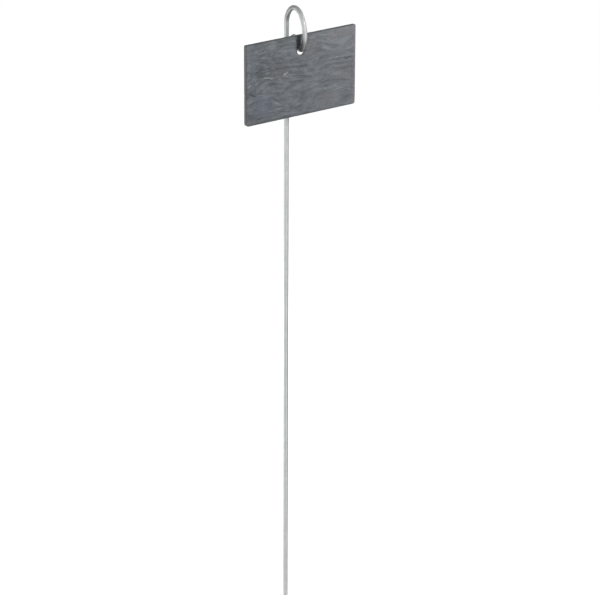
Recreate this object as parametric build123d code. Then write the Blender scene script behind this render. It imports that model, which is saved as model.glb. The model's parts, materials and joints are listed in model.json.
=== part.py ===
from build123d import *
from math import cos, radians, sin, sqrt
import os

# Plant label stake: a slate tag hanging on a crook bent from one galvanised wire.
# Sizes are in millimetres and degrees. The straight shaft stands on +Z with its foot at
# the origin, and the crook leans out towards -Y, so the tag faces -Y.

# Driving dimensions of the wire
overall_height = 600
wire_diameter = 4.5
wire_end_break = 0.4

# Driving dimensions of the crook
shoulder_inner_radius = 17
shoulder_angle = 45
crown_inner_radius = 8.75
crown_angle = 98
leg_angle = 58
loop_headroom = 20.6
hook_side_room = 0.75
tip_lean_angle = 42
tip_length = 13.2

# Driving dimensions of the slate tag
slate_width = 120
slate_height = 75
slate_thickness = 4
top_corner_ease = 0.6
bottom_corner_ease = 2.1
arris_break = 0.4
hole_inset = 14.8
hole_rim_break = 1.4

# Clearances
hole_play = 2.8
hang_clearance = 0.3

# Headings of the wire, counted from straight up and turning forwards over the crown
shoulder_end = shoulder_angle
crown_end = shoulder_end + crown_angle
leg_end = crown_end + leg_angle
over_heading = 90
level_heading = 270
tip_heading = 360 - tip_lean_angle

# Radii of the wire's centre line
wire_radius = wire_diameter / 2
shoulder_radius = shoulder_inner_radius + wire_radius
crown_radius = crown_inner_radius + wire_radius
hook_inner_radius = slate_thickness / 2 + hook_side_room
hook_radius = hook_inner_radius + wire_radius


def rise(radius, start, end):
    """Height gained along an arc of the wire between two headings."""
    return radius * (sin(radians(end)) - sin(radians(start)))


def reach(radius, start, end):
    """Distance gained forwards along an arc of the wire between two headings."""
    return radius * (cos(radians(start)) - cos(radians(end)))


# A corner of the tag is rounder than its arris is wide
top_corner_radius = arris_break + top_corner_ease
bottom_corner_radius = arris_break + bottom_corner_ease

# The tag hangs below the crown by the loop's headroom, and its hole by the tag's top margin
slate_top_height = overall_height - wire_diameter - loop_headroom
slate_middle_height = slate_top_height - slate_height / 2
hole_radius = wire_radius + hole_play / 2
hole_height = slate_top_height - hole_inset

# The short straight bore between the hole's two broken rims rests on the inside of the hook
half_bore_length = slate_thickness / 2 - hole_rim_break
hook_rise = hook_radius - sqrt(hook_inner_radius**2 - half_bore_length**2)
hook_low_height = hole_height + hole_radius - hang_clearance - hook_rise

# The shaft ends where the shoulder has to start for the crown to reach the full height
level_crown_height = overall_height - wire_radius
crown_start_height = level_crown_height - rise(crown_radius, shoulder_end, over_heading)
shaft_length = crown_start_height - rise(shoulder_radius, 0, shoulder_end)

# The bowed front leg's radius brings the wire down from the crown to the hook
crown_end_height = crown_start_height + rise(crown_radius, shoulder_end, crown_end)
leg_end_height = hook_low_height - rise(hook_radius, leg_end, level_heading)
leg_radius = (crown_end_height - leg_end_height) / (sin(radians(crown_end)) - sin(radians(leg_end)))

# The tag hangs as far in front of the shaft as the bends carry the wire
hang_reach = (
    reach(shoulder_radius, 0, shoulder_end)
    + reach(crown_radius, shoulder_end, crown_end)
    + reach(leg_radius, crown_end, leg_end)
    + reach(hook_radius, leg_end, level_heading)
)


def wire_path():
    """Centre line of the wire: shaft, shoulder, crown, bowed front leg, hook and upturned tip."""
    with BuildLine(Plane.YZ) as path:
        shaft = Line((0, 0), (0, shaft_length))
        shoulder = JernArc(
            start=shaft @ 1, tangent=shaft % 1, radius=shoulder_radius, arc_size=shoulder_angle
        )
        crown = JernArc(
            start=shoulder @ 1, tangent=shoulder % 1, radius=crown_radius, arc_size=crown_angle
        )
        leg = JernArc(start=crown @ 1, tangent=crown % 1, radius=leg_radius, arc_size=leg_angle)
        hook_angle = tip_heading - leg_end
        hook = JernArc(start=leg @ 1, tangent=leg % 1, radius=hook_radius, arc_size=hook_angle)
        Line(hook @ 1, hook @ 1 + (hook % 1) * tip_length)
    return path.line


def make_stake():
    """One galvanised wire, cropped square at both ends with the edges taken off."""
    path = wire_path()
    with BuildPart() as stake:
        with BuildSketch(Plane.XY):
            Circle(wire_radius)
        sweep(path=path)
        end_edges = stake.edges().filter_by(GeomType.CIRCLE)
        foot_edge = end_edges.sort_by(Axis.Z)[0]
        tip_edge = end_edges.sort_by_distance(path @ 1)[0]
        chamfer([foot_edge, tip_edge], length=wire_end_break)
    return stake.part


def make_slate_label():
    """Rectangular slate tag with eased corners, dressed arrises and one drilled hole."""
    back = Plane.XZ.offset(hang_reach - slate_thickness / 2)
    with BuildPart() as tag:
        with BuildSketch(back) as outline:
            with Locations((0, slate_middle_height)):
                Rectangle(slate_width, slate_height)
            fillet(outline.vertices().group_by(Axis.Y)[-1], radius=top_corner_radius)
            fillet(outline.vertices().group_by(Axis.Y)[0], radius=bottom_corner_radius)
        extrude(amount=slate_thickness)
        faces = tag.faces().sort_by(Axis.Y)
        arrises = faces[0].edges() + faces[-1].edges()
        chamfer(arrises, length=arris_break)
        with Locations(back):
            with Locations((0, hole_height)):
                Hole(hole_radius)
        rims = tag.edges(Select.LAST).filter_by(GeomType.CIRCLE)
        chamfer(rims, length=hole_rim_break)
    return tag.part


os.makedirs("parts", exist_ok=True)
export_step(make_stake(), "parts/stake.step")
export_step(make_slate_label(), "parts/slate_label.step")
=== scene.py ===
import json
from math import ceil, cos, pi, radians, sin

import bmesh
import bpy
import numpy as np
from mathutils import Matrix, Vector, noise
from mathutils.geometry import delaunay_2d_cdt


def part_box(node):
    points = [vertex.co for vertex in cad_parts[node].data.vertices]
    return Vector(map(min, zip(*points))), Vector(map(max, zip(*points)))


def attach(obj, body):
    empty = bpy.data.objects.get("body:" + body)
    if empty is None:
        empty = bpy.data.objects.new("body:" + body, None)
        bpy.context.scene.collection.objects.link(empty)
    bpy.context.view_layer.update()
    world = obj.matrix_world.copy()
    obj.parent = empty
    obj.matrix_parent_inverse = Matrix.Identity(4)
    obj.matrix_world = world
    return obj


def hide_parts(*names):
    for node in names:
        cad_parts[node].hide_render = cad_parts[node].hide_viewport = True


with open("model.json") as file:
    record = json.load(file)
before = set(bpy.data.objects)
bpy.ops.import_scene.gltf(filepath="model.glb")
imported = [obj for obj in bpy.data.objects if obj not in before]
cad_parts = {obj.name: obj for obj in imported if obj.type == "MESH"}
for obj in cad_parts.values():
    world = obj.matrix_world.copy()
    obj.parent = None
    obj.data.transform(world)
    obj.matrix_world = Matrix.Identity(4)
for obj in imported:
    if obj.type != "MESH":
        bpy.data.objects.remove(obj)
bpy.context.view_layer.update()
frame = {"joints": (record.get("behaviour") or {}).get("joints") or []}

# The stake is one length of galvanised steel wire, drawn round and bent cold over pegs into a
# shoulder, a crown and a hook. The foot for the soil is cropped square, and the tip is snipped.
# Its line lies in the plane x = 0 as (forwards, up), with headings counted from straight up.
wire_low, wire_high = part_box("stake")
tag_low, tag_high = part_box("slate_label")
wire_radius = (wire_high.x - wire_low.x) / 2
zinc_wear = 0.00004
shoulder_inner_radius = 0.017
shoulder_angle = radians(45)
crown_inner_radius = 0.00875
crown_angle = radians(98)
leg_angle = radians(58)
hook_side_room = 0.00075
tip_lean_angle = radians(42)
tip_length = 0.0132
wire_end_break = 0.0004
wire_sides = 40
shaft_ring_pitch = 0.0012
bend_ring_pitch = 0.0005
zinc_unevenness = 0.00002
zinc_lump_size = 0.004
snip_ridge = 0.35
snip_slant = 0.2
snip_length = 0.0035
# How far down the snipped tip its side is painted with shade
tip_shade_length = 0.0026
end_ring_shares = (0.35, 0.35)
sharp_edge_angle = radians(35)

hang_point = Vector(frame["joints"][0]["pos_m"])
shoulder_radius = shoulder_inner_radius + wire_radius
crown_radius = crown_inner_radius + wire_radius
hook_radius = (tag_high.y - tag_low.y) / 2 + hook_side_room + wire_radius
crown_end = shoulder_angle + crown_angle
leg_end = crown_end + leg_angle
crown_start_height = wire_high.z - wire_radius - crown_radius * (1 - sin(shoulder_angle))
shaft_top = crown_start_height - shoulder_radius * sin(shoulder_angle)
crown_end_height = crown_start_height + crown_radius * (sin(crown_end) - sin(shoulder_angle))
leg_end_height = hang_point.z + hook_radius * (1 + sin(leg_end))
leg_radius = (crown_end_height - leg_end_height) / (sin(crown_end) - sin(leg_end))
tip_heading = 2 * pi - tip_lean_angle
length_to_crown = shaft_top + shoulder_radius * shoulder_angle
length_to_hook = length_to_crown + crown_radius * crown_angle + leg_radius * leg_angle
length_to_tip = length_to_hook + hook_radius * (tip_heading - leg_end)


def run(points, heading, length, pitch):
    """Carries the wire's centre line on straight along its heading."""
    start = points[-1]
    along = Vector((sin(heading), cos(heading)))
    steps = ceil(length / pitch)
    for step in range(1, steps + 1):
        points.append(start + along * (length * step / steps))


def bend(points, heading, radius, angle):
    """Carries the wire's centre line on round an arc."""
    centre = points[-1] + Vector((radius * cos(heading), -radius * sin(heading)))
    steps = ceil(radius * angle / bend_ring_pitch)
    for step in range(1, steps + 1):
        now = heading + angle * step / steps
        points.append(centre + Vector((-radius * cos(now), radius * sin(now))))


def wire_line():
    """Centre line of the whole wire, from the foot to the snipped tip."""
    points = [Vector((0, 0))]
    run(points, 0, wire_end_break, wire_end_break)
    run(points, 0, shaft_top - wire_end_break, shaft_ring_pitch)
    bend(points, 0, shoulder_radius, shoulder_angle)
    bend(points, shoulder_angle, crown_radius, crown_angle)
    bend(points, crown_end, leg_radius, leg_angle)
    bend(points, leg_end, hook_radius, tip_heading - leg_end)
    run(points, tip_heading, tip_length - wire_end_break, bend_ring_pitch)
    run(points, tip_heading, wire_end_break, wire_end_break)
    return points


def placed(name, data):
    """An object for a mesh, curve, lamp or camera, put into the scene."""
    made = bpy.data.objects.new(name, data)
    bpy.context.scene.collection.objects.link(made)
    return made


def line_object(name, points):
    """A curve through the centre line, thinned at its two cropped ends."""
    curve = bpy.data.curves.new(name, "CURVE")
    curve.dimensions = "3D"
    spline = curve.splines.new("POLY")
    spline.points.add(len(points) - 1)
    for place, point in zip(points, spline.points):
        point.co = (0, -place.x, place.y, 1)
        point.radius = 1
    for point in (spline.points[0], spline.points[-1]):
        point.radius = 1 - wire_end_break / wire_radius
    return placed(name, curve)


def node(tree, kind, inputs=None, **settings):
    """Adds a node, sets its properties, and links or sets its inputs."""
    made = tree.nodes.new(kind)
    for key, value in settings.items():
        setattr(made, key, value)
    for key, value in (inputs or {}).items():
        if isinstance(value, bpy.types.NodeSocket):
            tree.links.new(value, made.inputs[key])
        else:
            made.inputs[key].default_value = value
    return made


def maths(tree, operation, *values):
    """A Math node on one to three values or sockets."""
    made = tree.nodes.new("ShaderNodeMath")
    made.operation = operation
    for socket, value in zip(made.inputs, values):
        if isinstance(value, bpy.types.NodeSocket):
            tree.links.new(value, socket)
        else:
            socket.default_value = value
    return made.outputs[0]


def drawn_wire_tree():
    """Geometry nodes that sweep a round section along a line and roughen its zinc a little."""
    tree = bpy.data.node_groups.new("drawn_wire", "GeometryNodeTree")
    face = tree.interface
    face.new_socket("Line", in_out="INPUT", socket_type="NodeSocketGeometry")
    face.new_socket("Wire radius", in_out="INPUT", socket_type="NodeSocketFloat")
    face.new_socket("Sides", in_out="INPUT", socket_type="NodeSocketInt")
    face.new_socket("Zinc unevenness", in_out="INPUT", socket_type="NodeSocketFloat")
    face.new_socket("Zinc lump size", in_out="INPUT", socket_type="NodeSocketFloat")
    face.new_socket("Zinc", in_out="INPUT", socket_type="NodeSocketMaterial")
    face.new_socket("Wire", in_out="OUTPUT", socket_type="NodeSocketGeometry")
    given = node(tree, "NodeGroupInput").outputs

    circle = node(tree, "GeometryNodeCurvePrimitiveCircle", {
        "Resolution": given["Sides"],
        "Radius": given["Wire radius"],
    })
    section = node(tree, "GeometryNodeCaptureAttribute")
    section.capture_items.new("VECTOR", "Place")
    tree.links.new(circle.outputs["Curve"], section.inputs["Geometry"])
    tree.links.new(node(tree, "GeometryNodeInputPosition").outputs[0], section.inputs["Place"])

    line = node(tree, "GeometryNodeCaptureAttribute")
    line.capture_items.new("FLOAT", "Length")
    tree.links.new(given["Line"], line.inputs["Geometry"])
    tree.links.new(node(tree, "GeometryNodeSplineParameter").outputs["Length"], line.inputs["Length"])

    swept = node(tree, "GeometryNodeCurveToMesh", {
        "Curve": line.outputs["Geometry"],
        "Profile Curve": section.outputs["Geometry"],
        "Scale": node(tree, "GeometryNodeInputRadius").outputs[0],
        "Fill Caps": True,
    })
    place = node(tree, "ShaderNodeSeparateXYZ", {0: section.outputs["Place"]}).outputs
    skin = node(tree, "ShaderNodeCombineXYZ", {
        0: place[0],
        1: place[1],
        2: line.outputs["Length"],
    }).outputs[0]
    kept = node(tree, "GeometryNodeStoreNamedAttribute", {
        "Geometry": swept.outputs["Mesh"],
        "Name": "wire_skin",
        "Value": skin,
    }, data_type="FLOAT_VECTOR", domain="POINT")

    fineness = maths(tree, "DIVIDE", 1, given["Zinc lump size"])
    lumps = node(tree, "ShaderNodeTexNoise", {"Vector": skin, "Scale": fineness, "Detail": 2}).outputs[0]
    depth = maths(tree, "MULTIPLY", lumps, given["Zinc unevenness"])
    inwards = node(tree, "ShaderNodeVectorMath", {
        0: node(tree, "GeometryNodeInputNormal").outputs[0],
        "Scale": maths(tree, "MULTIPLY", depth, -1),
    }, operation="SCALE").outputs[0]
    uneven = node(tree, "GeometryNodeSetPosition", {"Geometry": kept.outputs[0], "Offset": inwards})
    smooth = node(tree, "GeometryNodeSetShadeSmooth", {"Geometry": uneven.outputs[0]})
    real = node(tree, "GeometryNodeRealizeInstances", {"Geometry": smooth.outputs[0]})
    coated = node(tree, "GeometryNodeSetMaterial", {
        "Geometry": real.outputs[0],
        "Material": given["Zinc"],
    })
    node(tree, "NodeGroupOutput", {"Wire": coated.outputs[0]})
    return tree


def grown(carrier, tree, values):
    """The plain mesh that a geometry tree makes on a carrier object, which is then dropped."""
    modifier = carrier.modifiers.new(tree.name, "NODES")
    modifier.node_group = tree
    for item in tree.interface.items_tree:
        if item.in_out == "INPUT" and item.name in values:
            modifier[item.identifier] = values[item.name]
    shown = carrier.evaluated_get(bpy.context.evaluated_depsgraph_get())
    mesh = bpy.data.meshes.new_from_object(shown)
    bpy.data.objects.remove(carrier)
    return mesh


def finish_ends(mesh, points):
    """Dishes the two cropped faces, marks their bare steel, paints shade down the side of the snipped tip
    and slants it.
    """
    tip = Vector((0, -points[-1].x, points[-1].y))
    before = Vector((0, -points[-2].x, points[-2].y))
    tip_axis = (tip - before).normalized()
    tip_front = Vector((0, -tip_axis.z, tip_axis.y))
    form = bmesh.new()
    form.from_mesh(mesh)
    bare_and_shade = form.verts.layers.float.new("bare_steel_and_tip_shade")
    for cap in [face for face in form.faces if len(face.verts) > 4]:
        for share in end_ring_shares:
            radius = min(edge.calc_length() for edge in cap.edges) * wire_sides / (2 * pi)
            bmesh.ops.inset_region(form, faces=[cap], thickness=radius * share, use_even_offset=True)
        for edge in cap.edges:
            for face in edge.link_faces:
                for vert in face.verts:
                    vert[bare_and_shade] = 1
    for vert in form.verts:
        if (vert.co - tip).length < snip_length:
            back_from_tip = max((tip - vert.co).dot(tip_axis), 0)
            forwards = (vert.co - tip).dot(tip_front) + wire_radius
            drop = snip_ridge * abs(vert.co.x) + snip_slant * forwards
            # Painted shade: the side of the tip is painted towards the dark of cut steel, more so nearer
            # its end.
            vert[bare_and_shade] = max(vert[bare_and_shade], 1 - back_from_tip / tip_shade_length)
            vert.co -= tip_axis * (drop * (1 - back_from_tip / snip_length))
    bmesh.ops.recalc_face_normals(form, faces=form.faces)
    form.to_mesh(mesh)
    form.free()
    mesh.set_sharp_from_angle(angle=sharp_edge_angle)


def fresh_material(name):
    """A new material, and the tree of its nodes."""
    material = bpy.data.materials.new(name)
    material.use_nodes = True
    return material, material.node_tree


def finish_surface(tree, colour, roughness, relief, strength, depth):
    """Gives a surface its colour, its roughness and a fine relief."""
    shader = tree.nodes["Principled BSDF"]
    bump = node(tree, "ShaderNodeBump", {"Height": relief, "Strength": strength, "Distance": depth})
    tree.links.new(colour, shader.inputs["Base Color"])
    tree.links.new(roughness, shader.inputs["Roughness"])
    tree.links.new(bump.outputs[0], shader.inputs["Normal"])
    return shader


def stored(tree, name, kind="Fac"):
    """A value that the mesh carries at each point."""
    return node(tree, "ShaderNodeAttribute", attribute_name=name).outputs[kind]


def ranged(tree, value, low, high, least=0, most=1, ease="LINEAR"):
    """Carries a value's range from low to high over to the range from least to most."""
    return node(tree, "ShaderNodeMapRange", {
        "Value": value,
        "From Min": low,
        "From Max": high,
        "To Min": least,
        "To Max": most,
    }, interpolation_type=ease).outputs[0]


def mixed(tree, share, first, second):
    """A colour that goes from the first to the second with a share."""
    return node(tree, "ShaderNodeMix", {0: share, 6: first, 7: second}, data_type="RGBA").outputs[2]


def noisy(tree, place, sizes, detail, roughness=0.5, distortion=0):
    """Noise whose grains have their own size along each axis of a place."""
    fineness = tuple(1 / size for size in sizes)
    stretched = node(tree, "ShaderNodeMapping", {"Vector": place, "Scale": fineness}).outputs[0]
    return node(tree, "ShaderNodeTexNoise", {
        "Vector": stretched,
        "Scale": 1,
        "Detail": detail,
        "Roughness": roughness,
        "Distortion": distortion,
    }).outputs[0]


def weighed(tree, *parts):
    """Sum of values, each times its own weight."""
    total = 0
    for value, weight in parts:
        total = maths(tree, "MULTIPLY_ADD", value, weight, total)
    return total


def galvanised_material():
    """Satin zinc: drawing lines, small crystals and a dull bloom, with painted shade over the bend, round
    the hook and down the snipped tip.
    """
    bright_zinc = (0.77, 0.79, 0.78, 1)
    dull_zinc = (0.58, 0.61, 0.60, 1)
    bend_shade_zinc = (0.38, 0.39, 0.39, 1)
    # The dark zinc at the hook is painted shade.
    hook_shade_zinc = (0.22, 0.22, 0.22, 1)
    cut_steel_and_tip_shade = (0.30, 0.29, 0.28, 1)
    metal_share = 0.65
    drawing_line_size = (0.0004, 0.0004, 0.030)
    crystal_size = 0.0012
    bloom_size = (0.009, 0.009, 0.009)
    bloom_weight = 0.6
    drawing_weight = 0.5
    crystal_weight = 0.18
    dull_range = (0.35, 0.95)
    rough_range = (0.3, 1)
    roughness = (0.28, 0.44)
    # Where the painted shade over the bend lies, and how it fades and mottles
    bend_room = 0.001
    bend_first = shaft_top + bend_room
    bend_last = length_to_crown + crown_radius * (pi / 2 - shoulder_angle)
    bend_fade = 0.006
    bend_least = 0.6
    bend_bloom = 0.5
    # How the painted shade at the hook fades in, where it ends and how dark it gets
    hook_shade_fade = 0.010
    hook_shade_reach = 0.002
    hook_shade_most = 0.9
    crystal_relief = 0.25
    relief_strength = 0.5
    relief_depth = 0.00004

    material, tree = fresh_material("galvanised_wire")
    skin = stored(tree, "wire_skin", "Vector")
    along = node(tree, "ShaderNodeSeparateXYZ", {0: skin}).outputs[2]

    drawn = noisy(tree, skin, drawing_line_size, detail=3)
    crystals = node(tree, "ShaderNodeTexVoronoi", {"Vector": skin, "Scale": 1 / crystal_size})
    crystal = node(tree, "ShaderNodeSeparateColor", {0: crystals.outputs["Color"]}).outputs[0]
    bloom = noisy(tree, skin, bloom_size, detail=4)
    dullness = weighed(tree, (bloom, bloom_weight), (drawn, drawing_weight), (crystal, crystal_weight))
    zinc = mixed(tree, ranged(tree, dullness, *dull_range), bright_zinc, dull_zinc)

    # Painted shade: the zinc over the shoulder and the left half of the crown is painted darker, mottled by
    # the bloom.
    half_fade = bend_fade / 2
    bent = ranged(tree, along, bend_first, bend_first + bend_fade, ease="SMOOTHSTEP")
    unbent = ranged(tree, along, bend_last - half_fade, bend_last + half_fade, 1, 0, "SMOOTHSTEP")
    cloudy = maths(tree, "MULTIPLY_ADD", bloom, bend_bloom, bend_least)
    bent = maths(tree, "MULTIPLY", maths(tree, "MULTIPLY", bent, unbent), cloudy)
    zinc = mixed(tree, bent, zinc, bend_shade_zinc)

    # Painted shade: the zinc darkens over the last of the front leg, stays dark round the whole hook
    # through the hole, and fades out along the snipped tip.
    hook_shade_end = length_to_hook - hook_shade_reach
    hook_shade = ranged(tree, along, hook_shade_end - hook_shade_fade, hook_shade_end, 0, hook_shade_most, "SMOOTHSTEP")
    tip_unshaded = ranged(tree, along, length_to_tip, length_to_tip + hook_shade_fade, 1, 0, "SMOOTHSTEP")
    zinc = mixed(tree, maths(tree, "MULTIPLY", hook_shade, tip_unshaded), zinc, hook_shade_zinc)
    # Bare steel on the cropped faces, and painted shade down the side of the snipped tip.
    metal = mixed(tree, stored(tree, "bare_steel_and_tip_shade"), zinc, cut_steel_and_tip_shade)

    relief = maths(tree, "MULTIPLY_ADD", crystal, crystal_relief, drawn)
    rough = ranged(tree, dullness, *rough_range, *roughness)
    shader = finish_surface(tree, metal, rough, relief, relief_strength, relief_depth)
    shader.inputs["Metallic"].default_value = metal_share
    return material


line = wire_line()
zinc = galvanised_material()
wire_mesh = grown(line_object("wire_line", line), drawn_wire_tree(), {
    "Wire radius": wire_radius - zinc_wear,
    "Sides": wire_sides,
    "Zinc unevenness": zinc_unevenness,
    "Zinc lump size": zinc_lump_size,
    "Zinc": zinc,
})
finish_ends(wire_mesh, line)
stake = placed("galvanised_stake", wire_mesh)
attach(stake, "wire")
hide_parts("stake")

# The tag is one piece of natural slate, split along its cleavage and left riven on both faces.
# Its edges are sawn and dressed by hand, and one hole is drilled near the top for the wire.
# Places on it are shares of its width and height, from its lower left corner as it is read.
tag_width = tag_high.x - tag_low.x
tag_height = tag_high.z - tag_low.z
hole_inset = 0.0148
hole_play = 0.0028
hole_radius = wire_radius + hole_play / 2
hole_up = tag_high.z - hole_inset
corner_radii = {"low": 0.0025, "high": 0.0007}
outline_pitch = 0.0005
hole_pitch = 0.000625
mesh_pitch = 0.00055
ring_gap_share = 0.6
edge_ring_insets = (0.0002, 0.0005)
hole_ring_steps = (0.0003, 0.0007, 0.0011, 0.0015)
edge_rows = 7
edge_wander = 0.00004


def tag_field(across, up, wave_across, wave_up, seed):
    """Smooth noise over the tag between about -1 and 1, with its own wavelengths."""
    places = zip(across / wave_across, up / wave_up)
    return 2 * np.array([noise.noise((a, b, seed)) for a, b in places])


def smooth_step(values):
    """Eases values between 0 and 1."""
    held = np.clip(values, 0, 1)
    return held * held * (3 - 2 * held)


# The wander of the sawn outline: wave length, weight and seed
edge_waves = (
    (0.009, 1, 3),
    (0.002, 0.5, 5),
)


def tag_outline():
    """The worn outline of the tag as points and inward directions, anticlockwise from the front."""
    places = []
    inwards = []
    corners = (
        (tag_high.x, tag_low.z, -1, 1, corner_radii["low"], -pi / 2),
        (tag_high.x, tag_high.z, -1, -1, corner_radii["high"], 0),
        (tag_low.x, tag_high.z, 1, -1, corner_radii["high"], pi / 2),
        (tag_low.x, tag_low.z, 1, 1, corner_radii["low"], pi),
    )
    turns = []
    for x, z, side, level, radius, start in corners:
        centre = Vector((x + side * radius, z + level * radius))
        steps = ceil(radius * pi / 2 / outline_pitch)
        turns.append([])
        for step in range(steps + 1):
            angle = start + pi / 2 * step / steps
            outwards = Vector((cos(angle), sin(angle)))
            turns[-1].append((centre + outwards * radius, -outwards))
    for turn, following in zip(turns, turns[1:] + turns[:1]):
        for place, inward in turn:
            places.append(place)
            inwards.append(inward)
        start = turn[-1][0]
        end = following[0][0]
        steps = ceil((end - start).length / outline_pitch)
        for step in range(1, steps):
            places.append(start.lerp(end, step / steps))
            inwards.append(turn[-1][1])
    places = np.array(places)
    inwards = np.array(inwards)
    wander = np.zeros(len(places))
    for wave, weight, seed in edge_waves:
        wander += weight * tag_field(places[:, 0], places[:, 1], wave, wave, seed)
    return places + inwards * (edge_wander * np.clip(wander, 0, 1))[:, None], inwards


def sheet_points(outline, inwards):
    """Points over one face: the outline, the hole, rings beside both, and a close grid between."""
    hole_steps = ceil(2 * pi * hole_radius / hole_pitch)
    turn = np.arange(hole_steps) * 2 * pi / hole_steps
    circle = np.stack((np.cos(turn), np.sin(turn)), 1)
    centre = np.array((0, hole_up))
    groups = [outline, centre + circle * hole_radius]
    groups += [outline + inwards * inset for inset in edge_ring_insets]
    groups += [centre + circle * (hole_radius + step) for step in hole_ring_steps]
    ring_gap = mesh_pitch * ring_gap_share
    edge_room = edge_ring_insets[-1] + ring_gap
    row_pitch = mesh_pitch * 3 ** 0.5 / 2
    rows = np.arange(tag_low.z + edge_room, tag_high.z - edge_room, row_pitch)
    for count, level in enumerate(rows):
        shift = mesh_pitch / 2 * (count % 2)
        across = np.arange(tag_low.x + edge_room + shift, tag_high.x - edge_room, mesh_pitch)
        groups.append(np.stack((across, np.full(len(across), level)), 1))
    inner = np.concatenate(groups[2:])
    from_hole = np.hypot(inner[:, 0], inner[:, 1] - hole_up) - hole_radius
    from_edge = edge_distance(inner[:, 0], inner[:, 1])
    rings = groups[2:2 + len(edge_ring_insets) + len(hole_ring_steps)]
    ring_count = sum(len(ring) for ring in rings)
    clear = (from_hole > hole_ring_steps[-1] + ring_gap) & (from_edge > edge_room)
    keep = np.ones(len(inner), bool)
    keep[ring_count:] = clear[ring_count:]
    return np.concatenate((groups[0], groups[1], inner[keep])), len(outline), hole_steps


def edge_distance(across, up):
    """Distance in from the tag's rounded outline."""
    middle = (tag_low.z + tag_high.z) / 2
    radius = np.where(up < middle, corner_radii["low"], corner_radii["high"])
    over = np.abs(across) - tag_width / 2 + radius
    above = np.abs(up - middle) - tag_height / 2 + radius
    corner = np.hypot(np.maximum(over, 0), np.maximum(above, 0))
    return radius - corner - np.minimum(np.maximum(over, above), 0)


def stroke(across, up, shares):
    """Distance from a bent line on the tag, the side it lies on, and how near its middle it is."""
    corners = [Vector((tag_low.x + a * tag_width, tag_low.z + b * tag_height)) for a, b in shares]
    lengths = [(end - start).length for start, end in zip(corners, corners[1:])]
    nearest = np.full(len(across), np.inf)
    side = np.zeros(len(across))
    share = np.zeros(len(across))
    passed = 0
    for start, end, length in zip(corners, corners[1:], lengths):
        along = (end - start) / length
        out_across = across - start.x
        out_up = up - start.y
        reach = np.clip(out_across * along.x + out_up * along.y, 0, length)
        off = np.hypot(out_across - reach * along.x, out_up - reach * along.y)
        closer = off < nearest
        nearest = np.where(closer, off, nearest)
        side = np.where(closer, np.sign(along.x * out_up - along.y * out_across), side)
        share = np.where(closer, (passed + reach) / sum(lengths), share)
        passed += length
    return nearest, side, np.sqrt(np.clip(4 * share * (1 - share), 0, 1))


# Lips where a flake of the front face split off: path shares, depth, and width of the hollow
flake_lips = (
    (((0.08, 0.64), (0.10, 0.65), (0.14, 0.65)), 0.00030, 0.0030),
    (((0.10, 0.61), (0.13, 0.59), (0.16, 0.57), (0.19, 0.57), (0.23, 0.57)), 0.00022, 0.0035),
    (((0.08, 0.50), (0.12, 0.53), (0.16, 0.54), (0.19, 0.53), (0.27, 0.51)), 0.00025, 0.0030),
    (((0.18, 0.49), (0.21, 0.49), (0.25, 0.47)), 0.00018, 0.0020),
    (((0.03, 0.39), (0.05, 0.37), (0.08, 0.36)), 0.00040, 0.0045),
    (((0.23, 0.26), (0.27, 0.22), (0.29, 0.19), (0.34, 0.16), (0.42, 0.15)), 0.00025, 0.0030),
    (((0.39, 0.37), (0.42, 0.36), (0.45, 0.36)), 0.00025, 0.0022),
    (((0.44, 0.24), (0.48, 0.24), (0.50, 0.25)), 0.00018, 0.0022),
    (((0.59, 0.42), (0.62, 0.42), (0.66, 0.39)), 0.00018, 0.0025),
    (((0.73, 0.37), (0.77, 0.38), (0.82, 0.36), (0.87, 0.36), (0.94, 0.32)), 0.00022, 0.0030),
    (((0.87, 0.61), (0.91, 0.59), (0.94, 0.59)), 0.00024, 0.0022),
    (((0.89, 0.11), (0.93, 0.10), (0.95, 0.10)), 0.00020, 0.0022),
    (((0.34, 0.54), (0.35, 0.56), (0.37, 0.57)), 0.00030, 0.0020),
)

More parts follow.
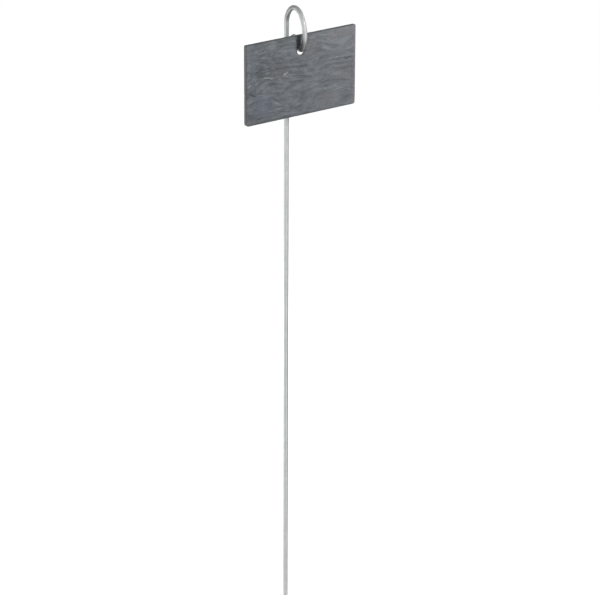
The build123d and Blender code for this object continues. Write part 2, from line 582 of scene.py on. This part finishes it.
# Pale mineral veins and scuffs on the front face: path shares, strength and width
pale_marks = (
    (((0.01, 0.48), (0.02, 0.49), (0.04, 0.50)), 0.75, 0.0010),
    (((0.01, 0.46), (0.03, 0.47)), 0.30, 0.0010),
    (
        ((0.09, 0.49), (0.10, 0.51), (0.12, 0.53), (0.15, 0.54), (0.17, 0.56), (0.20, 0.55), (0.24, 0.53)),
        0.80,
        0.0010,
    ),
    (((0.09, 0.59), (0.12, 0.57), (0.15, 0.54)), 0.22, 0.0008),
    (((0.06, 0.64), (0.08, 0.62), (0.08, 0.59), (0.07, 0.57)), 0.25, 0.0009),
    (((0.34, 0.54), (0.36, 0.56), (0.38, 0.57)), 1.00, 0.0012),
    (((0.29, 0.52), (0.31, 0.50), (0.32, 0.49)), 0.40, 0.0009),
    (((0.36, 0.53), (0.38, 0.51)), 0.30, 0.0008),
    (
        ((0.24, 0.25), (0.26, 0.23), (0.28, 0.21), (0.30, 0.19), (0.34, 0.17), (0.38, 0.15), (0.41, 0.15)),
        0.50,
        0.0009,
    ),
    (((0.25, 0.30), (0.28, 0.27), (0.31, 0.24)), 0.18, 0.0009),
    (((0.41, 0.35), (0.43, 0.36), (0.45, 0.35)), 0.42, 0.0008),
    (((0.01, 0.77), (0.03, 0.76), (0.04, 0.73)), 0.22, 0.0009),
    (((0.03, 0.67), (0.04, 0.68)), 0.28, 0.0008),
    (((0.09, 0.36), (0.12, 0.36), (0.17, 0.34), (0.22, 0.32)), 0.20, 0.0009),
    (((0.41, 0.03), (0.43, 0.05), (0.45, 0.06)), 0.32, 0.0008),
    (((0.22, 0.86), (0.24, 0.84)), 0.22, 0.0009),
    (((0.31, 0.63), (0.33, 0.60)), 0.20, 0.0009),
    (((0.82, 0.64), (0.84, 0.64)), 0.60, 0.0010),
    (((0.75, 0.47), (0.76, 0.46)), 0.50, 0.0009),
    (((0.54, 0.56), (0.54, 0.54)), 0.45, 0.0008),
    (((0.58, 0.61), (0.59, 0.62)), 0.30, 0.0008),
    (((0.76, 0.65), (0.77, 0.63)), 0.28, 0.0010),
    (((0.62, 0.42), (0.64, 0.41), (0.66, 0.41)), 0.38, 0.0008),
    (((0.52, 0.23), (0.54, 0.23)), 0.32, 0.0009),
    (((0.81, 0.29), (0.83, 0.29)), 0.22, 0.0010),
    (((0.67, 0.29), (0.68, 0.28)), 0.28, 0.0008),
    (((0.63, 0.51), (0.67, 0.50)), 0.20, 0.0008),
    (((0.74, 0.89), (0.75, 0.88)), 0.28, 0.0008),
    (((0.55, 0.76), (0.57, 0.75)), 0.32, 0.0008),
    (((0.83, 0.96), (0.89, 0.97), (0.94, 0.98)), 0.20, 0.0012),
)

# Small hollows and the feet of lips on the front face, dented a little and painted dark as shade: path
# shares, strength and width
dark_marks = (
    (((0.08, 0.63), (0.10, 0.64), (0.13, 0.65)), 0.90, 0.0010),
    (((0.10, 0.61), (0.12, 0.58), (0.15, 0.57), (0.19, 0.57), (0.21, 0.58), (0.23, 0.62)), 0.42, 0.0012),
    (((0.10, 0.49), (0.13, 0.50), (0.15, 0.51), (0.17, 0.52)), 0.55, 0.0010),
    (((0.03, 0.40), (0.05, 0.38), (0.07, 0.36), (0.09, 0.36)), 1.00, 0.0011),
    (((0.04, 0.61), (0.04, 0.58), (0.02, 0.56)), 0.45, 0.0012),
    (((0.28, 0.84), (0.29, 0.82), (0.31, 0.83)), 0.40, 0.0011),
    (((0.24, 0.43), (0.26, 0.42), (0.28, 0.42)), 0.40, 0.0010),
    (((0.31, 0.19), (0.34, 0.18), (0.38, 0.18)), 0.35, 0.0008),
    (((0.24, 0.29), (0.26, 0.26), (0.29, 0.24)), 0.40, 0.0009),
    (((0.00, 0.13), (0.02, 0.14), (0.03, 0.16)), 0.45, 0.0012),
    (((0.33, 0.63), (0.36, 0.64), (0.38, 0.65)), 0.40, 0.0010),
    (((0.16, 0.92), (0.18, 0.91)), 0.30, 0.0011),
    (((0.07, 0.20), (0.09, 0.18)), 0.32, 0.0011),
    (((0.12, 0.43), (0.13, 0.40)), 0.28, 0.0014),
    (((0.38, 0.26), (0.39, 0.22)), 0.32, 0.0009),
    (((0.25, 0.68), (0.27, 0.65), (0.29, 0.63)), 0.30, 0.0020),
    (((0.19, 0.72), (0.21, 0.73), (0.24, 0.71)), 0.30, 0.0012),
    (((0.12, 0.81), (0.15, 0.79), (0.19, 0.78)), 0.20, 0.0014),
    (((0.29, 0.90), (0.33, 0.88), (0.36, 0.87)), 0.20, 0.0012),
    (((0.44, 0.26), (0.47, 0.27), (0.50, 0.26)), 0.25, 0.0010),
    (((0.89, 0.62), (0.92, 0.59), (0.94, 0.60), (0.96, 0.62)), 0.60, 0.0011),
    (((0.74, 0.36), (0.76, 0.34), (0.79, 0.35), (0.83, 0.35), (0.88, 0.34), (0.91, 0.32)), 0.48, 0.0011),
    (((0.89, 0.46), (0.91, 0.48)), 0.35, 0.0012),
    (((0.66, 0.67), (0.68, 0.67), (0.71, 0.66)), 0.38, 0.0010),
    (((0.62, 0.67), (0.64, 0.64)), 0.32, 0.0010),
    (((0.82, 1.00), (0.81, 0.97), (0.81, 0.93)), 0.30, 0.0009),
    (((0.80, 0.42), (0.82, 0.38)), 0.30, 0.0012),
    (((0.58, 0.21), (0.60, 0.20)), 0.45, 0.0010),
    (((0.91, 0.06), (0.94, 0.04)), 0.38, 0.0011),
    (((0.63, 0.87), (0.69, 0.86), (0.72, 0.87)), 0.22, 0.0012),
    (((0.53, 0.62), (0.54, 0.60)), 0.38, 0.0009),
    (((0.57, 0.58), (0.58, 0.56)), 0.32, 0.0009),
    (((0.94, 0.41), (0.97, 0.38)), 0.28, 0.0010),
    (((0.47, 0.43), (0.50, 0.44), (0.52, 0.45)), 0.25, 0.0012),
    (((0.60, 0.47), (0.63, 0.47), (0.67, 0.45)), 0.22, 0.0010),
)

# How a mark thins out towards its two ends and its sides, how deep a hollow is, and how a lip curves
mark_end_share = 0.4
mark_sharpness = 1.6
hollow_depth = 0.00022
lip_curve = 1.5

# Blue and brown clouds in the stone: middle shares, size shares and strength, brown above zero
stone_clouds = (
    ((0.055, 0.65), (0.040, 0.34), -0.9),
    ((0.145, 0.22), (0.095, 0.16), -1.0),
    ((0.430, 0.87), (0.045, 0.06), -0.6),
    ((0.300, 0.60), (0.090, 0.14), 0.5),
    ((0.600, 0.85), (0.090, 0.07), 0.6),
    ((0.860, 0.92), (0.120, 0.06), 0.8),
    ((0.870, 0.44), (0.090, 0.12), 0.6),
    ((0.735, 0.13), (0.085, 0.10), 0.9),
    ((0.045, 0.04), (0.045, 0.05), 0.9),
)

# Swells that the stone's bedding bends over: middle shares, size shares and rise in metres
bedding_swells = (
    ((0.190, 0.470), (0.150, 0.180), 0.0050),
    ((0.400, 0.160), (0.130, 0.140), -0.0035),
    ((0.420, 0.720), (0.110, 0.130), -0.0030),
    ((0.850, 0.180), (0.200, 0.300), 0.0080),
    ((0.930, 0.720), (0.140, 0.150), -0.0030),
)

# Lighter and darker parts of the face: middle shares, size shares and strength, lighter above zero. The
# lighter upper right is a painted pool of light, and the darker lower left corner and the dark strip along
# the bottom edge are painted shade; the other patches are the stone's own tone.
tone_and_light_patches = (
    ((0.88, 0.92), (0.26, 0.18), 1.7),
    ((0.36, 0.90), (0.22, 0.10), 0.8),
    ((0.13, 0.33), (0.10, 0.08), 0.8),
    ((0.06, 0.12), (0.07, 0.10), -1.0),
    ((0.22, 0.62), (0.20, 0.26), -0.7),
    ((0.42, 0.62), (0.16, 0.24), -0.8),
    ((0.40, 0.30), (0.20, 0.20), -0.6),
    ((0.78, 0.55), (0.20, 0.20), -0.3),
    ((0.07, 0.04), (0.09, 0.05), -1.3),
    ((0.50, 0.02), (0.50, 0.018), -1.2),
)

# How far a patch of stone reaches past its size, and how ragged its border is: waves and share
patch_reach = 1.4
ragged_wave = (0.008, 0.006)
ragged_share = 0.35
ragged_seed = 41


def away(across, up, middle_shares, size_shares):
    """Distance from a place on the tag, counted in the size of what lies there."""
    off_across = (across - tag_low.x - middle_shares[0] * tag_width) / (size_shares[0] * tag_width)
    off_up = (up - tag_low.z - middle_shares[1] * tag_height) / (size_shares[1] * tag_height)
    return np.hypot(off_across, off_up)


def patch_field(across, up, patches):
    """Sum of ragged patches of stone, each with its middle, size and strength."""
    ragged = ragged_share * tag_field(across, up, *ragged_wave, ragged_seed)
    total = np.zeros(len(across))
    for middle_shares, size_shares, strength in patches:
        off = away(across, up, middle_shares, size_shares)
        total += strength * smooth_step(patch_reach - off + ragged)
    return total


# The stone's bedding: how far it wanders, in waves across and up the tag, and how it slopes
bedding_wander = 0.0018
bedding_wave = (0.024, 0.020)
bedding_slope = 0.05


def bedding_level(across, up, seed):
    """Height within the stone's bedding, whose layers wander and bend over swells."""
    level = up + bedding_wander * tag_field(across, up, *bedding_wave, seed) - bedding_slope * across
    for middle_shares, size_shares, rise in bedding_swells:
        level = level - rise * np.exp(-away(across, up, middle_shares, size_shares) ** 2)
    return level


# A riven face: waves across the tag and up through its bedding, with their weights and depths
broad_wave = (0.055, 0.030)
broad_depth = 0.00007
ripple_waves = ((0.013, 0.0040, 0.75), (0.006, 0.0021, 0.35))
ripple_depth = 0.00034
scallop_wave = (0.007, 0.005)
scallop_weight = 0.16
layer_wave = (0.050, 0.020)
layer_weight = 2.2
layer_lowest = -0.8
layer_depth = 0.00016
step_start = 0.44
step_width = 0.12
crisp_wave = (0.026, 0.022)
crisp_middle = 0.5
crisp_weight = 1.2
front_seed = 11
back_seed = 51


def riven_depth(across, up, seed):
    """Depth of a riven face below its highest plane, and how far its ripples stand out."""
    level = bedding_level(across, up, seed)
    broad = broad_depth * tag_field(across, level, *broad_wave, seed + 1)
    ripples = np.zeros(len(across))
    for order, (wave_across, wave_up, weight) in enumerate(ripple_waves, 2):
        ripples += weight * tag_field(across, level, wave_across, wave_up, seed + order)
    scallops = scallop_weight * tag_field(across, level, *scallop_wave, seed + 4)
    layers = layer_weight * tag_field(across, level, *layer_wave, seed + 5) + scallops
    layers = np.maximum(layers, layer_lowest)
    whole = np.floor(layers)
    stepped = whole + smooth_step((layers - whole - step_start) / step_width)
    crisp = smooth_step(crisp_middle + crisp_weight * tag_field(across, up, *crisp_wave, seed + 6))
    terraces = layer_depth * (crisp * stepped + (1 - crisp) * layers)
    return broad + ripple_depth * ripples + terraces, -ripples


# The riven relief fades out over this width beside the dressed edges, down to this share
edge_calm_width = 0.005
edge_calm_share = 0.1

# Bevels dressed along the edges of a face, from a hammered edge to one only rubbed: width and drop
dressed_bevels = {
    "right": (0.0024, 0.00040),
    "low": (0.0015, 0.00040),
    "left": (0.0006, 0.00020),
    "high": (0.0006, 0.00020),
}
bevel_wave = 0.007
bevel_unevenness = 0.35

# The arris of a face and its chips: width and drop, and each chip's wave length and threshold
arris_width = 0.00040
arris_drop = 0.00010
chip_width = 0.0016
chip_drop = 0.0005
chip_waves = ((0.0045, 0.35), (0.0016, 0.55))
front_arris_seed = 21
back_arris_seed = 61


def calmed(depth, across, up):
    """The depth from its highest point, fading out towards the dressed edges."""
    calm = smooth_step(edge_distance(across, up) / edge_calm_width)
    return (depth - depth.min()) * (edge_calm_share + (1 - edge_calm_share) * calm)


def arris_depth(across, up, seed):
    """How far the dressed edges and their small chips fall away below the face."""
    chips = np.zeros(len(across))
    for order, (wave, threshold) in enumerate(chip_waves):
        chips += np.maximum(tag_field(across, up, wave, wave, seed + order) - threshold, 0)
    inner = np.clip(1 - edge_distance(across, up) / (arris_width + chip_width * chips), 0, 1)
    depth = (arris_drop + chip_drop * chips) * inner ** 2
    room = {
        "right": tag_high.x - across,
        "left": across - tag_low.x,
        "high": tag_high.z - up,
        "low": up - tag_low.z,
    }
    uneven = 1 + bevel_unevenness * tag_field(across, up, bevel_wave, bevel_wave, seed + 2)
    for side, (width, drop) in dressed_bevels.items():
        slope = np.clip(1 - room[side] / (width * uneven), 0, 1)
        depth = np.maximum(depth, drop * slope)
    return depth


# The broken rim of the drilled hole: width and drop, how chips add to both, and its curve
rim_width = 0.0014
rim_drop = 0.0013
rim_chip_width = 0.0008
rim_chip_drop = 0.0003
rim_chip_wave = 0.0022
rim_curve = 1.15
rim_seed = 31


def rim_depth(across, up):
    """How far the broken rim of the drilled hole falls away below the face."""
    chips = np.maximum(tag_field(across, up, rim_chip_wave, rim_chip_wave, rim_seed), 0)
    out = np.hypot(across, up - hole_up) - hole_radius
    inner = np.clip(1 - out / (rim_width + rim_chip_width * chips), 0, 1)
    return (rim_drop + rim_chip_drop * chips) * inner ** rim_curve


# The saw marks on the edges: depth, waves along the edge and through the slate, and their limits
sawn_depth = 0.00003
sawn_wave = (0.006, 0.004)
sawn_closeness = 6
sawn_lift = 0.6
sawn_most = 1.2
sawn_seed = 71


def sawn_grain(places, inwards):
    """How far the saw marks on the edges fall away inside the tag's outline."""
    around = places[:, 0] + places[:, 2]
    grain = tag_field(around, places[:, 1] * sawn_closeness, *sawn_wave, sawn_seed)
    shift = inwards * (sawn_depth * np.clip(grain + sawn_lift, 0, sawn_most))[:, None]
    return np.stack((shift[:, 0], np.zeros(len(places)), shift[:, 1]), 1)


def marked(across, up, marks):
    """The strongest of the marks at each point of the face."""
    strongest = np.zeros(len(across))
    for shares, strength, width in marks:
        off, side, middle = stroke(across, up, shares)
        fading = mark_end_share + (1 - mark_end_share) * middle
        spread = np.exp(-((off / width * mark_sharpness) ** 2))
        strongest = np.maximum(strongest, strength * fading * spread)
    return strongest


def flat_sheet():
    """The face as flat triangles, with its outline's inward directions and its two rings' lengths."""
    merge_distance = 1e-7
    hole_share = 0.999
    outline, inwards = tag_outline()
    flat, outline_count, hole_count = sheet_points(outline, inwards)
    edges = [(i, (i + 1) % outline_count) for i in range(outline_count)]
    edges += [(outline_count + i, outline_count + (i + 1) % hole_count) for i in range(hole_count)]
    cut = delaunay_2d_cdt([Vector(place) for place in flat], edges, [], 0, merge_distance)
    flat = np.array([tuple(place) for place in cut[0]])
    faces = np.array(cut[2])
    middles = flat[faces].mean(1)
    inside = edge_distance(middles[:, 0], middles[:, 1]) > 0
    inside &= np.hypot(middles[:, 0], middles[:, 1] - hole_up) > hole_radius * hole_share
    return flat, faces[inside], inwards, outline_count, hole_count


# How wide the arris shows the dressed edge's colour, and how far the rubbed stone reaches in
arris_colour_width = 0.0006
rubbed_reach = 1.3


def slate_mesh():
    """Both riven faces, the dressed edges and the drilled hole as one closed mesh."""
    flat, faces, inwards, outline_count, hole_count = flat_sheet()
    across = flat[:, 0]
    up = flat[:, 1]
    count = len(flat)

    hollow = marked(across, up, dark_marks)
    front, ridge = riven_depth(across, up, front_seed)
    for shares, depth, width in flake_lips:
        off, side, middle = stroke(across, up, shares)
        front = front + np.where(side < 0, depth * middle * np.exp(-((off / width) ** lip_curve)), 0)
    front = front + hollow_depth * hollow
    front = calmed(front, across, up) + arris_depth(across, up, front_arris_seed) + rim_depth(across, up)
    back, back_ridge = riven_depth(across, up, back_seed)
    back = calmed(back, across, up) + arris_depth(across, up, back_arris_seed) + rim_depth(across, up)

    front_points = np.stack((across, tag_low.y + front, up), 1)
    back_points = np.stack((across, tag_high.y - back, up), 1)
    rows = [front_points, back_points]
    strips = []
    total = 2 * count
    outer_ring = np.arange(outline_count)
    hole_ring = np.arange(outline_count, outline_count + hole_count)
    for ring in (outer_ring, hole_ring):
        previous = ring
        for row in range(1, edge_rows + 1):
            share = row / (edge_rows + 1)
            places = front_points[ring] * (1 - share) + back_points[ring] * share
            if ring is outer_ring:
                places += sawn_grain(places, inwards)
            following = np.arange(total, total + len(ring))
            rows.append(places)
            total += len(ring)
            strips.append((previous, following))
            previous = following
        strips.append((previous, ring + count))

    polygons = [tuple(int(i) for i in face) for face in faces]
    polygons += [tuple(int(i) + count for i in reversed(face)) for face in faces]
    for upper, lower in strips:
        for i in range(len(upper)):
            j = (i + 1) % len(upper)
            polygons.append((int(upper[i]), int(lower[i]), int(lower[j]), int(upper[j])))
    points = np.concatenate(rows)
    mesh = bpy.data.meshes.new("slate_tag")
    mesh.from_pydata([tuple(point) for point in points], [], polygons)

    plain = np.zeros(count)
    rubbed = np.clip(rubbed_reach - (tag_high.x - across) / dressed_bevels["right"][0], 0, 1)
    arris = np.clip(1 - edge_distance(across, up) / arris_colour_width, 0, 1)
    for name, front_values, back_values, edge_value in (
        ("vein", marked(across, up, pale_marks), plain, 0),
        ("hollow", hollow, plain, 0),
        ("cloud", patch_field(across, up, stone_clouds), plain, 0),
        ("shade", patch_field(across, up, tone_and_light_patches), plain, 0),
        ("rubbed", rubbed, plain, 0),
        # The ridge carries painted light on the ripples' crests and painted shade in their troughs.
        ("ridge", ridge, back_ridge, 0),
        ("dressed", arris, arris, 1),
    ):
        edge_values = np.full(len(points) - 2 * count, float(edge_value))
        layer = mesh.attributes.new(name, "FLOAT", "POINT")
        layer.data.foreach_set("value", np.concatenate((front_values, back_values, edge_values)))
    bedding = points.copy()
    bedding[:, 2] = bedding_level(points[:, 0], points[:, 2], front_seed)
    layer = mesh.attributes.new("bedding", "FLOAT_VECTOR", "POINT")
    layer.data.foreach_set("vector", bedding.ravel())

    form = bmesh.new()
    form.from_mesh(mesh)
    bmesh.ops.recalc_face_normals(form, faces=form.faces)
    for face in form.faces:
        face.smooth = True
    form.to_mesh(mesh)
    form.free()
    return mesh


def slate_material():
    """Natural slate: grey stone with blue and brown clouds, pale veins, fine grain and sheen, and painted
    light and shade on its hollows, ripples and broad patches.
    """
    dark_slate = (0.098, 0.110, 0.120, 1)
    light_slate = (0.200, 0.211, 0.226, 1)
    blue_stone = (0.135, 0.158, 0.195, 1)
    brown_stone = (0.175, 0.165, 0.172, 1)
    rubbed_stone = (0.205, 0.188, 0.200, 1)
    pale_mineral = (0.50, 0.52, 0.54, 1)
    hollow_shade_stone = (0.050, 0.056, 0.062, 1)
    dressed_edge = (0.105, 0.112, 0.108, 1)
    stone_sheen = 0.35
    grain_size = (0.0080, 0.0022, 0.0022)
    speck_size = (0.0007, 0.0007, 0.0007)
    mottle_size = (0.014, 0.014, 0.014)
    flake_size = (0.016, 0.005, 0.005)
    noise_middle = 0.5
    layers_across = 18
    lip_range = (0.40, 0.60)
    lip_middle = 0.5
    lip_line_range = (0.03, 0.14)
    left_roughness = 1.55
    right_roughness = 0.60
    streak_weight = 0.60
    speck_weight = 0.20
    mottle_weight = 0.20
    ridge_shade_weight = 0.05
    patch_weight = 0.05
    tone_range = (0.36, 0.64)
    cloud_weight = 0.5
    worn_range = (0.36, 0.62)
    worn_least = 0.15
    patchy_range = (0.38, 0.56)
    patchy_least = 0.35
    hollow_least = 0.4
    lip_line_weight = 0.16
    rubbed_least = 0.1
    edge_weight = 0.8
    grain_range = (0.3, 0.7)
    roughness = (0.52, 0.72)
    streak_relief = 0.7
    speck_relief = 0.4
    layer_relief = 0.45
    relief_strength = 0.9
    relief_depth = 0.00025

    material, tree = fresh_material("riven_slate")
    place = node(tree, "ShaderNodeTexCoord").outputs["Object"]
    across = node(tree, "ShaderNodeSeparateXYZ", {0: place}).outputs[0]
    bedding = stored(tree, "bedding", "Vector")
    roughly_split = ranged(tree, across, tag_low.x, tag_high.x, left_roughness, right_roughness)

    grain = noisy(tree, bedding, grain_size, detail=5, roughness=0.6, distortion=0.5)
    speck = noisy(tree, place, speck_size, detail=3, roughness=0.6)
    mottle = noisy(tree, place, mottle_size, detail=4)
    flake = noisy(tree, bedding, flake_size, detail=4, roughness=0.55)
    off_middle = maths(tree, "SUBTRACT", grain, noise_middle)
    streak = maths(tree, "MULTIPLY_ADD", off_middle, roughly_split, noise_middle)
    # Painted light and shade: the crests of the riven ripples are painted lighter and their troughs darker,
    # more strongly towards the left.
    ridge = maths(tree, "MULTIPLY", stored(tree, "ridge"), roughly_split)

    layer = maths(tree, "MULTIPLY", flake, layers_across)
    layer_share = maths(tree, "FRACT", layer)
    lip = ranged(tree, layer_share, *lip_range, ease="SMOOTHSTEP")
    layers = maths(tree, "ADD", maths(tree, "FLOOR", layer), lip)
    layers = maths(tree, "MULTIPLY", layers, roughly_split)
    from_lip = maths(tree, "ABSOLUTE", maths(tree, "SUBTRACT", layer_share, lip_middle))
    lip_line = ranged(tree, from_lip, *lip_line_range, 1, 0)

    tone = weighed(
        tree,
        (streak, streak_weight),
        (speck, speck_weight),
        (mottle, mottle_weight),
        (ridge, ridge_shade_weight),
        # The stored shade carries the tone patches, with their painted light and painted shade.
        (stored(tree, "shade"), patch_weight),
    )
    stone = mixed(tree, ranged(tree, tone, *tone_range), dark_slate, light_slate)
    cloud = stored(tree, "cloud")
    blueness = maths(tree, "MAXIMUM", maths(tree, "MULTIPLY", cloud, -cloud_weight), 0)
    brownness = maths(tree, "MAXIMUM", maths(tree, "MULTIPLY", cloud, cloud_weight), 0)
    stone = mixed(tree, blueness, stone, blue_stone)
    stone = mixed(tree, brownness, stone, brown_stone)

    worn = ranged(tree, speck, *worn_range, worn_least, 1)
    patchy = ranged(tree, mottle, *patchy_range, patchy_least, 1)
    vein = maths(tree, "MULTIPLY", stored(tree, "vein"), maths(tree, "MULTIPLY", worn, patchy))
    stone = mixed(tree, vein, stone, pale_mineral)
    # Painted shade: the small hollows and the feet of the lips are painted near black, speckled.
    speckled = maths(tree, "ADD", speck, hollow_least)
    stone = mixed(tree, maths(tree, "MULTIPLY", stored(tree, "hollow"), speckled), stone, hollow_shade_stone)
    worn_lip = maths(tree, "MULTIPLY", lip_line, maths(tree, "MULTIPLY", worn, lip_line_weight))
    stone = mixed(tree, worn_lip, stone, pale_mineral)
    grainy = maths(tree, "ADD", grain, rubbed_least)
    stone = mixed(tree, maths(tree, "MULTIPLY", stored(tree, "rubbed"), grainy), stone, rubbed_stone)
    stone = mixed(tree, maths(tree, "MULTIPLY", stored(tree, "dressed"), edge_weight), stone, dressed_edge)

    relief = weighed(tree, (streak, streak_relief), (speck, speck_relief), (layers, layer_relief))
    rough = ranged(tree, grain, *grain_range, *roughness)
    shader = finish_surface(tree, stone, rough, relief, relief_strength, relief_depth)
    shader.inputs["Specular IOR Level"].default_value = stone_sheen
    return material


tag = placed("riven_slate_tag", slate_mesh())
tag.data.materials.append(slate_material())
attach(tag, "tag")
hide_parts("slate_label")

# The plain pale floor stands in for the white sweep of a studio. The eye sees it white, the zinc
# mirrors a sweep that is lit unevenly from side to side, and the stone gets the soft light that it
# throws back.
floor_half_width = 6
floor_share = 0.95
floor_bounce = (0.42, 0.42, 0.42, 1)
unlit = (0, 0, 0, 1)
mirrored_floor = 0.57

# Lighter and darker sides of the mirrored floor: side angle, nearness where it starts, and gain
mirrored_glows = (
    (radians(9), 0.6, 0.52),
    (radians(75), 0.5, -0.50),
    (radians(-122), 0.6, 0.64),
    (radians(178), 0.5, -0.45),
)


def way_to(side_angle, lift_angle=0):
    """Direction from the object to a place round it: how far to the right of the front, and up."""
    level = cos(lift_angle)
    return Vector((sin(side_angle) * level, -cos(side_angle) * level, sin(lift_angle)))


def nearness(tree, way, middle):
    """How nearly a direction points the way of another one, up to 1."""
    return node(tree, "ShaderNodeVectorMath", {0: way, 1: middle}, operation="DOT_PRODUCT").outputs["Value"]


floor_mesh = bpy.data.meshes.new("floor")
floor_sides = [(-1, -1), (1, -1), (1, 1), (-1, 1)]
floor_corners = [(x * floor_half_width, y * floor_half_width, 0) for x, y in floor_sides]
floor_mesh.from_pydata(floor_corners, [], [(0, 1, 2, 3)])
floor = placed("floor", floor_mesh)
floor_material, floor_tree = fresh_material("white_sweep")
floor_tree.nodes.clear()
floor_rays = node(floor_tree, "ShaderNodeLightPath").outputs
floor_matt = node(floor_tree, "ShaderNodeBsdfDiffuse", {
    "Color": mixed(floor_tree, floor_rays["Is Glossy Ray"], floor_bounce, unlit),
})
floor_place = node(floor_tree, "ShaderNodeTexCoord").outputs["Object"]
floor_way = node(floor_tree, "ShaderNodeVectorMath", {0: floor_place}, operation="NORMALIZE").outputs[0]
mirrored = mirrored_floor
for side_angle, start, gain in mirrored_glows:
    towards = nearness(floor_tree, floor_way, way_to(side_angle))
    glow = ranged(floor_tree, towards, start, 1, 0, gain, "SMOOTHSTEP")
    mirrored = maths(floor_tree, "ADD", glow, mirrored)
mirrored = maths(floor_tree, "MULTIPLY", floor_rays["Is Glossy Ray"], mirrored)
floor_seen = maths(floor_tree, "MAXIMUM", floor_rays["Is Camera Ray"], floor_rays["Is Transmission Ray"])
floor_level = maths(floor_tree, "MULTIPLY_ADD", floor_seen, floor_share, mirrored)
floor_white = node(floor_tree, "ShaderNodeEmission", {"Strength": floor_level})
floor_sum = node(floor_tree, "ShaderNodeAddShader", {0: floor_matt.outputs[0], 1: floor_white.outputs[0]})
node(floor_tree, "ShaderNodeOutputMaterial", {"Surface": floor_sum.outputs[0]})
floor.data.materials.append(floor_material)

# The light is a soft lamp high on the right in front of the tag, a broad one that fills from the
# left, a broad one behind, and a white room. The room darkens towards its ceiling, and the zinc
# mirrors it brighter at the front than at the back.
room_light = 0.15
room_colour = (1, 1, 1, 1)
ceiling_range = (0.1, 0.8)
ceiling_shade = 0.35
front_wall_lift = radians(18)
front_wall_share = 0.85
mirrored_back_wall = 0.26
mirrored_front_wall = 1.08
mirrored_ceiling_range = (0.25, 0.75)
mirrored_ceiling = 0.3
lamp_distance = 0.9

# Each lamp's side angle, lift angle, size and power
lamps = {
    "key_lamp": (radians(33), radians(28), 0.36, 9.5),
    "fill_lamp": (radians(-105), radians(10), 0.6, 8.5),
    "rear_lamp": (radians(165), radians(6), 0.6, 6),
}

world = bpy.data.worlds.new("studio")
bpy.context.scene.world = world
world.use_nodes = True
world_tree = world.node_tree
world_tree.nodes.clear()
room_rays = node(world_tree, "ShaderNodeLightPath").outputs
room_seen = maths(world_tree, "MAXIMUM", room_rays["Is Camera Ray"], room_rays["Is Transmission Ray"])
room_way = node(world_tree, "ShaderNodeTexCoord").outputs["Generated"]
upwards = node(world_tree, "ShaderNodeSeparateXYZ", {0: room_way}).outputs[2]
plain_room = maths(
    world_tree,
    "MULTIPLY",
    ranged(world_tree, upwards, *ceiling_range, 1, ceiling_shade),
    maths(world_tree, "MULTIPLY_ADD", room_seen, 1 - room_light, room_light),
)
to_front = nearness(world_tree, room_way, way_to(0, front_wall_lift))
mirrored_walls = (mirrored_back_wall, mirrored_front_wall)
mirrored_room = maths(
    world_tree,
    "MULTIPLY",
    ranged(world_tree, to_front, 0, front_wall_share, *mirrored_walls, "SMOOTHSTEP"),
    ranged(world_tree, upwards, *mirrored_ceiling_range, 1, mirrored_ceiling),
)
room_level = node(world_tree, "ShaderNodeMix", {
    0: room_rays["Is Glossy Ray"],
    2: plain_room,
    3: mirrored_room,
}).outputs[0]
room = node(world_tree, "ShaderNodeBackground", {"Color": room_colour, "Strength": room_level})
node(world_tree, "ShaderNodeOutputWorld", {"Surface": room.outputs[0]})

tag_middle = (tag_low + tag_high) / 2
for name, (side_angle, lift_angle, size, power) in lamps.items():
    lamp = bpy.data.lights.new(name, "AREA")
    lamp.shape = "DISK"
    lamp.size = size
    lamp.energy = power
    lamp_object = placed(name, lamp)
    way = way_to(side_angle, lift_angle)
    lamp_object.location = tag_middle + way * lamp_distance
    lamp_object.rotation_euler = way.to_track_quat("Z", "Y").to_euler()
    lamp_object.visible_glossy = False

# The camera stands a little above the tag, in front of it and to its left, and far enough away
# for the tall stake to fill the picture.
view_side_angle = radians(-35.510)
view_lift_angle = radians(22.276)
view_roll = radians(0.246)
view_distance = 2.5169
view_target = Vector((0.005446, -0.014886, 0.315491))
focal_pixels = 2700.9
picture_pixels = 600
film_width = 36

back = way_to(view_side_angle, view_lift_angle)
right = Vector((cos(view_side_angle), sin(view_side_angle), 0))
above = back.cross(right)
turned_right = right * cos(view_roll) + above * sin(view_roll)
turned_above = above * cos(view_roll) - right * sin(view_roll)
turned = Matrix((turned_right, turned_above, back)).transposed().to_4x4()
camera = bpy.data.cameras.new("camera")
camera.sensor_width = film_width
camera.lens = focal_pixels / picture_pixels * film_width
camera_object = placed("camera", camera)
camera_object.matrix_world = Matrix.Translation(view_target + back * view_distance) @ turned
bpy.context.scene.camera = camera_object
bpy.context.scene.view_settings.view_transform = "Standard"
